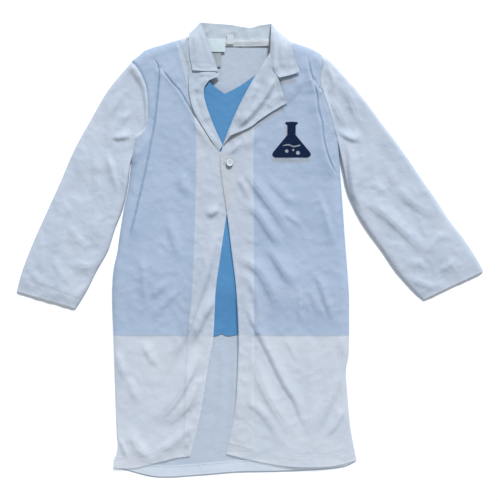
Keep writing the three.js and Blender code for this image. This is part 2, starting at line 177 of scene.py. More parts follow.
def to_line(x, y, line):
    """Distance to a line of points, the side it is on (+1 is left of travel), and how far along."""
    p = np.array(line, float)
    best = np.full(np.shape(x), np.inf)
    side = np.zeros(np.shape(x))
    along = np.zeros(np.shape(x))
    length = np.linalg.norm(np.diff(p, axis=0), axis=1)
    start = np.concatenate([[0], np.cumsum(length)])
    for i in range(len(p) - 1):
        d = p[i + 1] - p[i]
        rx, ry = x - p[i, 0], y - p[i, 1]
        t = np.clip((rx * d[0] + ry * d[1]) / max(length[i] ** 2, 1e-9), 0, 1)
        away = np.hypot(rx - t * d[0], ry - t * d[1])
        closer = away < best
        best = np.where(closer, away, best)
        side = np.where(closer, np.sign(d[0] * ry - d[1] * rx), side)
        along = np.where(closer, (start[i] + t * length[i]) / start[-1], along)
    return best, side, along


def inside(x, y, edge):
    """Whether each point lies within a closed outline."""
    odd = np.zeros(np.shape(x), bool)
    for (ax, ay), (bx, by) in zip(edge, np.roll(edge, -1, axis=0)):
        crosses = (ay > y) != (by > y)
        at = ax + (y - ay) * (bx - ax) / (by - ay if by != ay else 1e-9)
        odd ^= crosses & (x < at)
    return odd


def step01(t):
    """0 below 0, 1 above 1, and a smooth rise between them."""
    t = np.clip(t, 0, 1)
    return t * t * (3 - 2 * t)


def noise(x, y, size, seed):
    """Smooth noise from -1 to 1 with features about size mm across."""
    table = np.random.default_rng(seed).uniform(-1, 1, (64, 64))
    gx, gy = np.asarray(x) / size + 1000, np.asarray(y) / size + 1000
    ix, iy = np.floor(gx).astype(int), np.floor(gy).astype(int)
    fx, fy = step01(gx - ix), step01(gy - iy)
    corner = [table[(ix + i) % 64, (iy + j) % 64] for i in (0, 1) for j in (0, 1)]
    low = corner[0] * (1 - fy) + corner[1] * fy
    high = corner[2] * (1 - fy) + corner[3] * fy
    return low * (1 - fx) + high * fx


def rounded(distance, radius):
    """0 at an edge, rising to 1 on a quarter round."""
    t = 1 - np.clip(distance / radius, 0, 1)
    return np.sqrt(1 - t * t)


# ------------------------------------------------------------------ meshes
def fill(edge, step, holes=(), lines=()):
    """Triangles inside an outline: its own points, a hexagonal grid, and rows beside some lines."""
    low, high = edge.min(0), edge.max(0)
    rows = np.arange(low[1], high[1], step * 0.866)
    grid = np.array([
        (x + (i % 2) * step / 2, y)
        for i, y in enumerate(rows)
        for x in np.arange(low[0], high[0], step)
    ])
    grid = grid[inside(grid[:, 0], grid[:, 1], edge)]
    away = to_line(grid[:, 0], grid[:, 1], np.vstack([edge, edge[:1]]))[0]
    grid = grid[away > 0.6 * step]
    for line in lines:
        rows = np.vstack([shifted(line, d, step) for d in (-3.4, -2.2, -1.1, 0, 1.1, 2.2, 3.4)])
        rows = rows[inside(rows[:, 0], rows[:, 1], edge)]
        if len(rows) == 0:
            continue
        rows = rows[to_line(rows[:, 0], rows[:, 1], np.vstack([edge, edge[:1]]))[0] > 0.5]
        away = to_line(grid[:, 0], grid[:, 1], smooth(line))[0]
        grid = np.vstack([grid[away > 3.4 + 0.5 * step], rows])
    rings = [edge]
    for hole in holes:
        away = to_line(grid[:, 0], grid[:, 1], np.vstack([hole, hole[:1]]))[0]
        grid = grid[(away > 0.4 * step) & ~inside(grid[:, 0], grid[:, 1], hole)]
        rings.append(hole)
    starts = np.cumsum([0] + [len(r) for r in rings])
    loops = [list(range(a, b)) for a, b in zip(starts, starts[1:])]
    points = [Vector(p) for p in np.vstack([*rings, grid])]
    borders = [(loop[i - 1], loop[i]) for loop in loops for i in range(len(loop))]
    found = delaunay_2d_cdt(points, borders, [], 0, 1e-5)
    xy, faces = np.array([tuple(v) for v in found[0]]), np.array(found[2])
    middle = xy[faces].mean(axis=1)
    kept = inside(middle[:, 0], middle[:, 1], edge)
    for hole in holes:
        kept &= ~inside(middle[:, 0], middle[:, 1], hole)
    return xy, faces[kept]


def normals_of(p, faces):
    """The unit normal at every point of a mesh."""
    n = np.zeros_like(p)
    for i in range(1, len(faces[0]) - 1):
        cross = np.cross(p[faces[:, i]] - p[faces[:, 0]], p[faces[:, i + 1]] - p[faces[:, 0]])
        for k in (0, i, i + 1):
            np.add.at(n, faces[:, k], cross)
    return n / np.maximum(np.linalg.norm(n, axis=1), 1e-12)[:, None]


def thickened(p, faces, thickness):
    """A surface made into a thin solid: both faces and a rim round every free edge."""
    n = normals_of(p, faces) * thickness / 2
    count, corners = len(p), faces.shape[1]
    pairs = {}
    for k in range(corners):
        for a, b in zip(faces[:, k], faces[:, (k + 1) % corners]):
            pairs[(a, b)] = True
    rim = [(b, a, a + count, b + count) for a, b in pairs if (b, a) not in pairs]
    skin = [tuple(f) for f in faces] + [tuple(f[::-1] + count) for f in faces]
    return np.vstack([p + n, p - n]), skin + rim


def piece(name, points, faces, material):
    """A Blender object from points in mm."""
    mesh = bpy.data.meshes.new(name)
    mesh.from_pydata([tuple(v) for v in np.asarray(points) * MM], [], [tuple(map(int, f)) for f in faces])
    mesh.polygons.foreach_set("use_smooth", [True] * len(mesh.polygons))
    mesh.set_sharp_from_angle(angle=math.radians(60))
    mesh.materials.append(material)
    made = bpy.data.objects.new(name, mesh)
    bpy.context.scene.collection.objects.link(made)
    return made


LEAST_SHARE = 0.3


def flat_size(edge):
    """Width, length and area of an outline, in metres."""
    w, h = (edge.max(0) - edge.min(0)) * MM
    x, y = edge.T * MM
    area = abs(np.dot(x, np.roll(y, -1)) - np.dot(y, np.roll(x, -1))) / 2
    return (float(w), float(h)), float(area)


def fold(made):
    """Bakes the piece's placement into its points; nothing turns it at a fold line."""
    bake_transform(made)


def cloth(name, edge, height, material, thickness=SINGLE,
          step=4.0, replaces=(), body=None, holes=(), cut=None, lines=()):
    """One sheet of cloth cut to an outline and draped to a height function."""
    xy, faces = fill(edge, step, holes, lines)
    z = height(xy[:, 0], xy[:, 1])
    made = piece(name, *thickened(np.column_stack([xy, z]), faces, thickness), material)
    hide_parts(*replaces)
    flat, area = flat_size(edge)
    if cut:
        flat, area = cut, min(area, cut[0] * cut[1])
    # A smaller area is raised to the least share of its box, and the area is not used further.
    # side_seam_allowance_right, a slanted strip, is declared with 0.00629 square metres because of
    # this, and its own area is 0.00459.
    area = max(area, LEAST_SHARE * flat[0] * flat[1])
    if body:
        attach(made, body)
    return made


# ------------------------------------------------------------------ materials
def new_material(name, color, roughness):
    material = bpy.data.materials.new(name)
    material.use_nodes = True
    shader = material.node_tree.nodes["Principled BSDF"]
    shader.inputs["Base Color"].default_value = (*color, 1)
    shader.inputs["Roughness"].default_value = roughness
    return material, material.node_tree, shader


def add_node(tree, kind, **values):
    node = tree.nodes.new(kind)
    for key, value in values.items():
        if key in node.inputs:
            node.inputs[key].default_value = value
        else:
            setattr(node, key, value)
    return node


def weave_height(tree, place, pitch, strength):
    """Warp and weft threads as two crossed waves."""
    waves = []
    for direction in ("X", "Y"):
        wave = add_node(tree, "ShaderNodeTexWave", wave_type="BANDS", bands_direction=direction,
                        wave_profile="SIN", Scale=1 / (pitch * 3.1))
        tree.links.new(place, wave.inputs["Vector"])
        waves.append(wave.outputs["Fac"])
    both = add_node(tree, "ShaderNodeMath", operation="MAXIMUM")
    tree.links.new(waves[0], both.inputs[0])
    tree.links.new(waves[1], both.inputs[1])
    scaled = add_node(tree, "ShaderNodeMath", operation="MULTIPLY")
    tree.links.new(both.outputs[0], scaled.inputs[0])
    scaled.inputs[1].default_value = strength
    return scaled.outputs[0]


def fabric(name, color, tint, roughness=0.8, alpha=1.0, pitch=0.0009, rumple=0.3, sheen=0.12):
    """Plain-woven cloth: woven threads, slubs, small rumples and an uneven tone."""
    material, tree, shader = new_material(name, color, roughness)
    place = add_node(tree, "ShaderNodeTexCoord").outputs["Object"]
    patches = add_node(tree, "ShaderNodeTexNoise", Scale=16, Detail=3, Roughness=0.5)
    tree.links.new(place, patches.inputs["Vector"])
    tone = add_node(tree, "ShaderNodeValToRGB")
    tone.color_ramp.elements[0].position = 0.32
    tone.color_ramp.elements[1].position = 0.68
    tone.color_ramp.elements[0].color = (*tint, 1)
    tone.color_ramp.elements[1].color = (*color, 1)
    tree.links.new(patches.outputs["Fac"], tone.inputs["Fac"])
    tree.links.new(tone.outputs["Color"], shader.inputs["Base Color"])

    slubs = add_node(tree, "ShaderNodeTexNoise", Scale=260, Detail=4, Roughness=0.6)
    rumples = add_node(tree, "ShaderNodeTexNoise", Scale=55, Detail=4, Roughness=0.55, Distortion=0.4)
    for texture in (slubs, rumples):
        tree.links.new(place, texture.inputs["Vector"])
    fine = add_node(tree, "ShaderNodeBump", Strength=0.35, Distance=0.0004)
    coarse = add_node(tree, "ShaderNodeBump", Strength=rumple, Distance=0.004)
    total = add_node(tree, "ShaderNodeMath", operation="ADD")
    tree.links.new(weave_height(tree, place, pitch, 0.7), total.inputs[0])
    tree.links.new(slubs.outputs["Fac"], total.inputs[1])
    tree.links.new(total.outputs[0], fine.inputs["Height"])
    tree.links.new(rumples.outputs["Fac"], coarse.inputs["Height"])
    tree.links.new(coarse.outputs["Normal"], fine.inputs["Normal"])
    tree.links.new(fine.outputs["Normal"], shader.inputs["Normal"])
    shader.inputs["Sheen Weight"].default_value = sheen
    shader.inputs["Sheen Roughness"].default_value = 0.5
    shader.inputs["Alpha"].default_value = alpha
    return material


SHEER = 0.22  # alpha of one face of a front; a sheet has two faces
white_front = fabric("white_front", (0.89, 0.88, 0.88), (0.83, 0.84, 0.86), alpha=SHEER)
white_facing = fabric("white_facing", (0.72, 0.76, 0.82), (0.68, 0.73, 0.80), alpha=0.25)
white_cloth = fabric("white_cloth", (0.43, 0.465, 0.505), (0.38, 0.425, 0.48))
white_band = fabric("white_band", (0.44, 0.475, 0.50), (0.40, 0.445, 0.475))
white_tape = fabric("white_tape", (0.55, 0.555, 0.55), (0.50, 0.52, 0.525))
white_hem = fabric("white_hem", (0.52, 0.55, 0.59), (0.49, 0.53, 0.57))
# Painted shade: the back is coloured darker than white cloth, for the shade it lies in inside the coat and
# for a darker ground showing through the thin cloth
white_back_painted_shade = fabric("white_back_painted_shade", (0.415, 0.45, 0.50), (0.385, 0.425, 0.485))
white_sleeve = fabric("white_sleeve", (0.455, 0.485, 0.53), (0.41, 0.45, 0.51))
blue_cloth = fabric("blue_cloth", (0.072, 0.225, 0.41), (0.058, 0.20, 0.38), sheen=0.05)
satin = fabric("label_satin", (0.54, 0.62, 0.62), (0.49, 0.58, 0.60), roughness=0.4, pitch=0.0005, rumple=0.2)
grey_label = fabric("label_grey", (0.36, 0.38, 0.39), (0.24, 0.26, 0.27), roughness=0.5, pitch=0.0005,
                    rumple=0.2)
navy = fabric("navy_film", (0.004, 0.012, 0.038), (0.005, 0.014, 0.043), roughness=0.9, rumple=0.1, sheen=0.0)
navy.node_tree.nodes["Principled BSDF"].inputs["Specular IOR Level"].default_value = 0.12
blue_thread = fabric("blue_thread", (0.05, 0.16, 0.31), (0.045, 0.145, 0.29), pitch=0.0003,
                     rumple=0.05, sheen=0.0)
thread = fabric("sewing_thread", (0.55, 0.575, 0.59), (0.50, 0.54, 0.575), pitch=0.0003, rumple=0.05)
plastic = fabric("button_plastic", (0.62, 0.64, 0.65), (0.58, 0.61, 0.635), roughness=0.35, pitch=0.004,
                 rumple=0.03, sheen=0.0)


# ------------------------------------------------------------------ shared drape of the front
SIDES = [smooth(SHOULDER_RIGHT, 8), smooth(SHOULDER_LEFT, 8), smooth(SIDE_RIGHT, 8), smooth(SIDE_LEFT, 8)]
CLOSED_Z = 2.0  # height of the side and shoulder seams


def from_closed_edge(x, y):
    """Distance to the nearest side or shoulder seam, where the coat is sewn shut."""
    return np.min([to_line(x, y, s)[0] for s in SIDES], axis=0)


# Creases: height, how wide the fold runs out to the left and to the right of travel, the line.
# The narrow side is the steep one.
PLEATS = [
    (4.2, 15, 2.6, [(-170, 326), (-159, 318), (-154, 300), (-156, 270), (-160, 230), (-164, 200),
                    (-171, 165), (-180, 120), (-193, 65), (-203, 25), (-214, 2)]),
    (3.6, 2.6, 15, [(97, 330), (101, 308), (107, 285), (113, 262), (116, 236), (122, 214),
                    (124, 192), (128, 172), (136, 148), (149, 122)]),
    (3.0, 2.2, 9, [(106, 292), (116, 274), (126, 267)]),
    (1.7, 9, 5, [(-150, 306), (-134, 285), (-118, 267), (-104, 243), (-92, 222)]),
]
CREASES = [
    # the left front, from the button down to the wearer's left
    (2.8, 16, 6, [(-20, 146), (-4, 126), (12, 104), (32, 78), (50, 52), (64, 30), (74, 16)]),
    (2.4, 14, 5, [(-22, 78), (0, 70), (14, 58), (30, 34), (46, 12), (62, -8)]),
    (2.6, 15, 5, [(20, 10), (36, -6), (50, -28), (64, -48), (82, -67)]),
    (2.4, 14, 6, [(-30, -2), (-10, -20), (8, -29), (20, -44), (33, -66), (42, -88), (55, -112)]),
    (1.6, 8, 4, [(-18, -28), (-4, -50), (6, -68), (12, -94), (16, -122), (24, -150)]),
    (3.0, 12, 3, [(-16, -66), (-9, -92), (4, -122), (20, -153), (34, -180), (48, -210), (62, -235),
                  (76, -256), (86, -284), (99, -306), (104, -334)]),
    (2.8, 14, 7, [(6, -165), (8, -192), (18, -224), (32, -252), (48, -280), (63, -301), (80, -318)]),
    (2.0, 10, 5, [(-12, -236), (0, -258), (16, -272), (30, -288), (40, -306), (54, -340)]),
    (2.6, 5, 14, [(166, -186), (154, -204), (145, -236), (132, -266), (118, -296), (106, -324)]),
    (2.2, 3, 9, [(165, -258), (154, -282), (142, -303), (126, -321)]),
    (1.2, 6, 3, [(58, -148), (68, -166), (78, -192)]),
    (1.8, 9, 4, [(110, -26), (117, -54), (128, -86), (138, -114), (146, -132)]),
    (1.8, 3, 10, [(112, 108), (124, 76), (134, 44), (143, 14), (152, -8)]),
    (1.2, 6, 3, [(54, 66), (70, 52), (88, 42)]),
    (1.0, 4, 2, [(82, -56), (83, -90), (82, -126)]),
    (1.2, 9, 9, [(104, -136), (103, -200), (104, -270), (105, -350)]),
    (1.3, 7, 4, [(-26, 128), (-12, 108), (-4, 84)]),
    (1.5, 10, 5, [(24, 128), (44, 104), (66, 84), (84, 66)]),
    (1.2, 10, 6, [(100, -60), (112, -90), (122, -124)]),
    (1.4, 4, 8, [(150, -140), (158, -160), (160, -186)]),
    # the right front, from the opening down to the wearer's right
    (4.2, 6, 12, [(-50, 52), (-58, 22), (-67, -10), (-74, -42), (-86, -76), (-96, -106),
                  (-108, -138), (-124, -170), (-140, -202), (-150, -224)]),
    (3.9, 5, 10, [(-58, -66), (-68, -94), (-80, -116), (-92, -142), (-106, -168)]),
    (4.8, 7, 14, [(-82, -160), (-96, -198), (-110, -226), (-126, -254), (-146, -277), (-168, -298)]),
    (3.3, 7, 12, [(-82, -206), (-94, -234), (-106, -262), (-126, -282), (-152, -300)]),
    (2.7, 5, 9, [(-228, -166), (-218, -196), (-209, -224)]),
    (2.1, 5, 7, [(-202, -210), (-197, -240), (-188, -262)]),
    (3.0, 6, 12, [(-200, -296), (-193, -326), (-178, -344), (-158, -350)]),
    (2.7, 9, 6, [(-100, -288), (-120, -316), (-146, -336), (-170, -346)]),
    (1.7, 3, 7, [(-180, 2), (-178, -50), (-176, -106)]),
    (1.5, 6, 6, [(-110, -58), (-146, -92), (-176, -118)]),
    (1.4, 6, 6, [(-134, -48), (-156, -68), (-174, -84)]),
    (2.7, 4, 8, [(-48, 70), (-60, 64), (-74, 54)]),
    (2.2, 6, 9, [(-120, 140), (-112, 112), (-104, 84)]),
    (1.8, 7, 7, [(-140, 60), (-128, 20), (-120, -20)]),
    (2.1, 8, 5, [(-184, -150), (-172, -176), (-160, -200)]),
    (2.7, 3, 4, [(-221, -316), (-214, -336), (-206, -354)]),
    (1.8, 6, 8, [(-190, 150), (-184, 168), (-178, 186), (-180, 204)]),
    (2.1, 5, 7, [(-204, 140), (-196, 156), (-190, 176)]),
    # beside the lapels
    (1.6, 4, 7, [(-104, 236), (-90, 212), (-74, 190), (-58, 170)]),
    (1.8, 5, 3, [(-12, 188), (-24, 174), (-38, 158)]),
    (1.4, 6, 9, [(20, 208), (8, 190), (-10, 168)]),
    (1.8, 5, 12, [(90, 300), (84, 280), (72, 262), (58, 244)]),
    (1.3, 8, 8, [(-136, 330), (-130, 300), (-120, 276)]),
]


GROOVE_WIDTH = 1.7  # half the width of the slit along a crease


def creased(x, y, creases, groove=0.0, ends=0.4):
    """The height of creases. A groove is how deep a slit runs along each crease's line.
    The ends are the share of a crease's length over which it fades out."""
    z = np.zeros(np.shape(x))
    for height, left, right, line in creases:
        p = np.array(line)
        reach = 2.6 * max(left, right)
        near = np.all([x > p[:, 0].min() - reach, x < p[:, 0].max() + reach,
                       y > p[:, 1].min() - reach, y < p[:, 1].max() + reach], axis=0)
        if not near.any():
            continue
        d, side, t = to_line(x[near], y[near], smooth(line, 8))
        fade = step01(t / ends) * step01((1 - t) / ends)
        ridge = np.exp(-(d / np.where(side > 0, left, right)) ** 1.7)
        z[near] += height * fade * (ridge - groove * np.exp(-(d / GROOVE_WIDTH) ** 2))
    return z


def rumple(x, y, seed=0):
    """Small irregular creasing of cloth that was packed."""
    u = x + 5 * noise(x, y, 30, seed + 50)
    v = y + 5 * noise(x, y, 30, seed + 51)
    ridges = 1 - 2 * np.abs(noise(u + 0.5 * v, v - 0.5 * u, 19, seed + 52))
    return 0.32 * ridges + 0.22 * noise(u, v, 9, seed + 53) + 0.08 * noise(x, y, 4.5, seed + 54)


PLEAT_SCALE = 1.3  # times the heights in PLEATS
CREASE_SCALE = 2.2  # times the heights in CREASES
RUMPLE_SCALE = 1.3
BUTTON_DIP = 0.8  # how much lower the cloth lies round the button


def swell(x, y):
    """The drape that all the layers of the body share. It is quiet round the button."""
    away = np.hypot(x - BUTTON[0], y - BUTTON[1])
    calm = step01((away - 6) / 22)
    slow = 1.1 * noise(x, y, 85, 1) + 0.7 * noise(x, y, 42, 2)
    folds = PLEAT_SCALE * creased(x, y, PLEATS, 1.35, 0.12) + CREASE_SCALE * creased(x, y, CREASES, 0.25)
    dip = BUTTON_DIP * np.exp(-(away / 14) ** 2)
    return slow + calm * (folds + RUMPLE_SCALE * rumple(x, y)) - dip


def sink(y):
    """The layers lie closer together towards the hem, where no shirt is between them."""
    return 0.42 + 0.58 * step01((y + 340) / 320)


SEAM_DIP = 2.3  # how far a sewn armhole seam pulls the cloth down


def body_height(base, fullness=1.0):
    """The drape of one layer whose middle lies at the given height in the frame."""
    def height(x, y):
        x, y = np.asarray(x, float), np.asarray(y, float)
        z = BACK_Z + (base - BACK_Z) * sink(y) + swell(x, y) * fullness
        edge = CLOSED_Z + 0.12 * (base - BACK_Z)
        z = edge + (z - edge) * rounded(from_closed_edge(x, y) + 0.5, 16)
        armhole = np.minimum(to_line(x, y, ARMHOLE_RIGHT)[0], to_line(x, y, ARMHOLE_LEFT)[0])
        return z - SEAM_DIP * fullness * np.exp(-(armhole / 2.5) ** 2)
    return height


BACK_Z = level("back_panel")
shirt_height = body_height(level("shirt_insert"), 0.25)
right_height = body_height(level("front_right"))
left_height = body_height(level("front_left"))


def lowered(height, by):
    """The same drape, some mm lower."""
    return lambda x, y: height(x, y) - by


def raised(height, by):
    """The same drape, some mm higher."""
    return lambda x, y: height(x, y) + by


BACK_FOLDS = [
    (1.6, 5, 5, [(-44, -140), (-46, -200), (-50, -260), (-60, -300), (-66, -345)]),
    (1.3, 7, 4, [(-62, -180), (-70, -240), (-84, -300), (-92, -345)]),
    (1.5, 7, 5, [(-24, -150), (-26, -220), (-32, -290), (-40, -345)]),
]


def back_height(x, y):
    """The back lies almost flat on the floor, and turns up a little at the closed edges."""
    x, y = np.asarray(x, float), np.asarray(y, float)
    z = BACK_Z + 0.5 + 0.35 * noise(x, y, 60, 11) + 0.2 * noise(x, y, 25, 12)
    return z + creased(x, y, BACK_FOLDS) + 0.5 * (1 - rounded(from_closed_edge(x, y), 20))


def insert_height(x, y):
    """The shirt lies almost on the back at its hem."""
    low = step01((-55 - np.asarray(y, float)) / 80)
    return shirt_height(x, y) * (1 - low) + (back_height(x, y) + 1.3) * low


def length_of(*lines):
    """The length of some lines together, in metres."""
    return float(sum(np.linalg.norm(np.diff(smooth(p), axis=0), axis=1).sum() for p in lines)) * MM


def strip(line, near, far, step=4.0):
    """A band beside a line, from one distance to another to its left."""
    return np.vstack([shifted(line, near, step), shifted(line, far, step)[::-1]])


STITCH = 2.6  # length of one stitch; the gap to the next is a fifth of it


def dashes(line, length=STITCH):
    """The two ends of every stitch along a line."""
    p = smooth(line, length * 0.6)
    return [(p[i], p[i] + (p[i + 1] - p[i]) * 1.35) for i in range(0, len(p) - 1, 2)]


def stitches(name, ends, height, body=None, width=0.5, material=None, nodes=()):
    """Short raised threads that follow a surface."""
    section = [(-0.5, -0.3), (-0.35, 0.25), (0, 0.45), (0.35, 0.25), (0.5, -0.3)]
    points, faces = [], []
    for a, b in ends:
        d = (b - a) / max(np.linalg.norm(b - a), 1e-6)
        across = np.array([-d[1], d[0]])
        start = len(points)
        for t, size in ((0, 0.5), (0.2, 1), (0.8, 1), (1, 0.5)):
            for u, v in section:
                at = a + (b - a) * t + across * u * width * size
                points.append((*at, v * width * size))
        n = len(section)
        for i in range(3):
            for j in range(n):
                k = (j + 1) % n
                near, far = start + i * n, start + (i + 1) * n
                faces.append([near + j, near + k, far + k, far + j])
        faces.append([start + j for j in reversed(range(n))])
        faces.append([start + 3 * n + j for j in range(n)])
    points = np.array(points)
    points[:, 2] += height(points[:, 0], points[:, 1]) + 0.3
    made = piece(name, points, faces, material or thread)
    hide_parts(*nodes)
    if body:
        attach(made, body)
    return made


# ------------------------------------------------------------------ back
back_edge = outline(SHOULDER_RIGHT, NECK_SEAM, SHOULDER_LEFT, ARMHOLE_LEFT, SIDE_LEFT,
                    BACK_HEM[::-1], SIDE_RIGHT[::-1], ARMHOLE_RIGHT[::-1])
# the back uses the grey cloth with painted shade
cloth("back_panel_cloth", back_edge, back_height, white_back_painted_shade,
      replaces=["back_panel"], body="torso", step=4)
cloth("back_hem_fold", strip(BACK_HEM, 1.0, 20), raised(back_height, 0.6),
      white_hem, replaces=["back_hem"], body="torso", step=5)

# ------------------------------------------------------------------ blue shirt front
insert_edge = outline(
    [(-200, 320), (-187, 330), (-173, 340), (-121, 355)], INSERT_NECK, INSERT_NECK_LEFT,
    [(76, 350), (89, 346), (107, 339), (122, 330)], ARMHOLE_LEFT,
    [p for p in SIDE_LEFT if p[1] > INSERT_HEM_Y] + [(168, INSERT_HEM_Y)],
    SHIRT_HEM,
    ([p for p in SIDE_RIGHT if p[1] > INSERT_HEM_Y] + [(-231, INSERT_HEM_Y)])[::-1],
    ARMHOLE_RIGHT[::-1],
)
cloth("shirt_insert_cloth", insert_edge, insert_height, blue_cloth,
      replaces=["shirt_insert"], body="torso", step=5)
cloth("shirt_hem_fold", strip([(-222, -145)] + SHIRT_HEM[-2:0:-1] + [(160, -145)], 0.5, 9),
      lowered(insert_height, 0.6), blue_cloth, replaces=["insert_hem"], body="torso", step=5)
NECK_FACING_WIDTH = 0.018  # as declared, in metres; the drawn strip is about 10 mm wide
neck_facing = outline(INSERT_NECK, INSERT_NECK_LEFT, [(74, 350), (66, 338)],
                      [(66, 338), (36, 306), (6, 281), (-43, 248)],
                      [(-43, 248), (-74, 272), (-100, 308), (-122, 345)], [(-122, 345), (-118, 355)])
cloth("shirt_neck_facing", neck_facing, lowered(insert_height, 0.6), blue_cloth,
      replaces=["insert_neck_facing"], body="torso", step=5,
      cut=(NECK_FACING_WIDTH, length_of(INSERT_NECK, INSERT_NECK_LEFT)))

# ------------------------------------------------------------------ fronts and facings
SLIT = (14.0, 0.8)  # the buttonhole, in mm
turn = np.linspace(0, 2 * np.pi, 24, endpoint=False)
slit = np.array(BUTTON) + (-2, 0) + np.column_stack([np.cos(turn) * SLIT[0] / 2, np.sin(turn) * SLIT[1] / 2])
UNDER_LAPEL = [(-107, 361), (-97, 352), (-93, 325), (-94, 296), (-96, 266), (-90, 240), (-78, 217),
               (-62, 192), (-52, 167)]
right_edge = outline(SHOULDER_RIGHT, UNDER_LAPEL, UNDERLAP, EDGE_RIGHT, HEM_RIGHT,
                     SIDE_RIGHT[::-1], ARMHOLE_RIGHT[::-1])
front_right = cloth("front_right_cloth", right_edge, right_height, white_front,
                    replaces=["front_right", "front_skirt_right"],
                    step=2.4, lines=[PLEATS[0][3], PLEATS[3][3]])
left_edge = outline(ROLL_LEFT, [(34, 333), (46, 350), (66, 355)], SHOULDER_LEFT, ARMHOLE_LEFT,
                    SIDE_LEFT, HEM_LEFT[::-1], EDGE_LEFT[::-1])
front_left = cloth("front_left_cloth", left_edge, left_height, white_front,
                   replaces=["front_left", "front_skirt_left"],
                   step=2.4, holes=[slit], lines=[PLEATS[1][3], CREASES[5][3]])
facing_right_edge = outline(ROLL_RIGHT[1:], UNDERLAP, EDGE_RIGHT, [(-102, -350), (-112, -345)],
                            FACING_EDGE_RIGHT[::-1], [(-125, 352), (-112, 335)])
facing_right = cloth("facing_right_cloth", facing_right_edge, lowered(right_height, 0.7), white_facing,
                     replaces=["facing_right", "facing_skirt_right"], step=3)
facing_left_edge = outline(ROLL_LEFT, [(34, 333), (46, 345)], FACING_EDGE_LEFT,
                           [(7, -340), (-39, -340)], [p for p in EDGE_LEFT if p[1] > -340][::-1])
facing_left = cloth("facing_left_cloth", facing_left_edge, lowered(left_height, 0.7), white_facing,
                    replaces=["facing_left", "facing_skirt_left"], step=3, holes=[slit])
hem_right = cloth("front_hem_right_fold", strip(HEM_RIGHT[::-1], 0.8, 20), lowered(right_height, 0.7),
                  white_facing, replaces=["front_hem_right"], step=5)
hem_left = cloth("front_hem_left_fold", strip(HEM_LEFT, 0.8, 20), lowered(left_height, 0.7),
                 white_facing, replaces=["front_hem_left"], step=5)

for made in (front_right, facing_right, hem_right):
    fold(made)
for made in (front_left, facing_left, hem_left):
    fold(made)

# ------------------------------------------------------------------ sleeves
SLEEVE_CREASES = [
    # the right sleeve
    (3.6, 2.4, 9, [(-199, 193), (-212, 190), (-226, 188), (-240, 190)]),
    (2.6, 3, 8, [(-242, 172), (-236, 150), (-229, 122), (-220, 92)]),
    (2.6, 8, 6, [(-198, 238), (-212, 228), (-224, 210), (-236, 192)]),
    (2.2, 4, 7, [(-203, 276), (-222, 254), (-233, 236), (-238, 206), (-240, 172)]),
    (1.6, 3, 6, [(-206, 158), (-209, 128), (-212, 96), (-216, 70)]),
    (2.0, 6, 9, [(-306, 92), (-316, 60), (-324, 26), (-334, -16)]),
    (1.2, 3, 5, [(-352, 34), (-352, 0), (-350, -44)]),
    (1.5, 5, 6, [(-334, -10), (-326, -30), (-316, -52)]),
    (1.4, 7, 5, [(-312, 52), (-300, 30), (-286, 12), (-268, 4)]),
    (1.6, 6, 8, [(-300, -20), (-280, -28), (-258, -24)]),
    (1.5, 5, 6, [(-268, -58), (-284, -70), (-302, -84)]),
    (1.4, 8, 8, [(-280, 190), (-286, 150), (-292, 110)]),
    (1.5, 9, 6, [(-258, 180), (-262, 130), (-258, 80)]),
    (1.2, 6, 6, [(-250, 64), (-262, 40), (-256, 16)]),
    (1.2, 5, 5, [(-376, -30), (-356, -52), (-338, -58)]),
    (2.4, 6, 4, [(-204, 316), (-194, 302), (-186, 284)]),
    # the left sleeve
    (3.6, 9, 2.4, [(149, 203), (162, 191), (176, 186), (192, 187)]),
    (3.0, 9, 2.6, [(151, 190), (163, 176), (167, 150), (170, 118), (178, 88), (198, 50)]),
    (1.8, 5, 6, [(176, 186), (176, 150), (176, 108)]),
    (2.0, 9, 5, [(192, 184), (190, 150), (182, 110), (186, 86)]),
    (2.8, 14, 5, [(176, 88), (202, 76), (226, 60), (248, 40), (268, 22), (288, 2), (312, -18)]),
    (2.0, 10, 6, [(244, 112), (262, 90), (290, 68), (324, 52)]),
    (1.4, 8, 4, [(200, 116), (216, 106), (234, 92)]),
    (2.2, 8, 6, [(150, 292), (166, 262), (178, 236), (184, 208)]),
    (2.0, 6, 6, [(132, 262), (146, 240), (156, 222), (170, 206)]),
    (2.6, 5, 3, [(126, 318), (136, 300), (140, 282), (128, 264)]),
    (1.6, 6, 5, [(296, -8), (320, 22), (346, 18)]),
    (1.3, 5, 5, [(262, -18), (284, -22), (304, -36)]),
    (1.4, 5, 4, [(318, -34), (336, -28), (348, -12)]),
    (1.4, 6, 5, [(256, -36), (280, -52), (312, -62), (344, -54)]),
    (1.3, 7, 6, [(210, 186), (206, 160), (204, 130)]),
    (1.2, 6, 6, [(228, 150), (240, 128), (244, 104)]),
]
SLEEVE_Z = 6.2  # how high the front of a sleeve lies, and how high its folded edges are
SLEEVE_EDGE_Z = 1.9
CUFF_HEM = 20


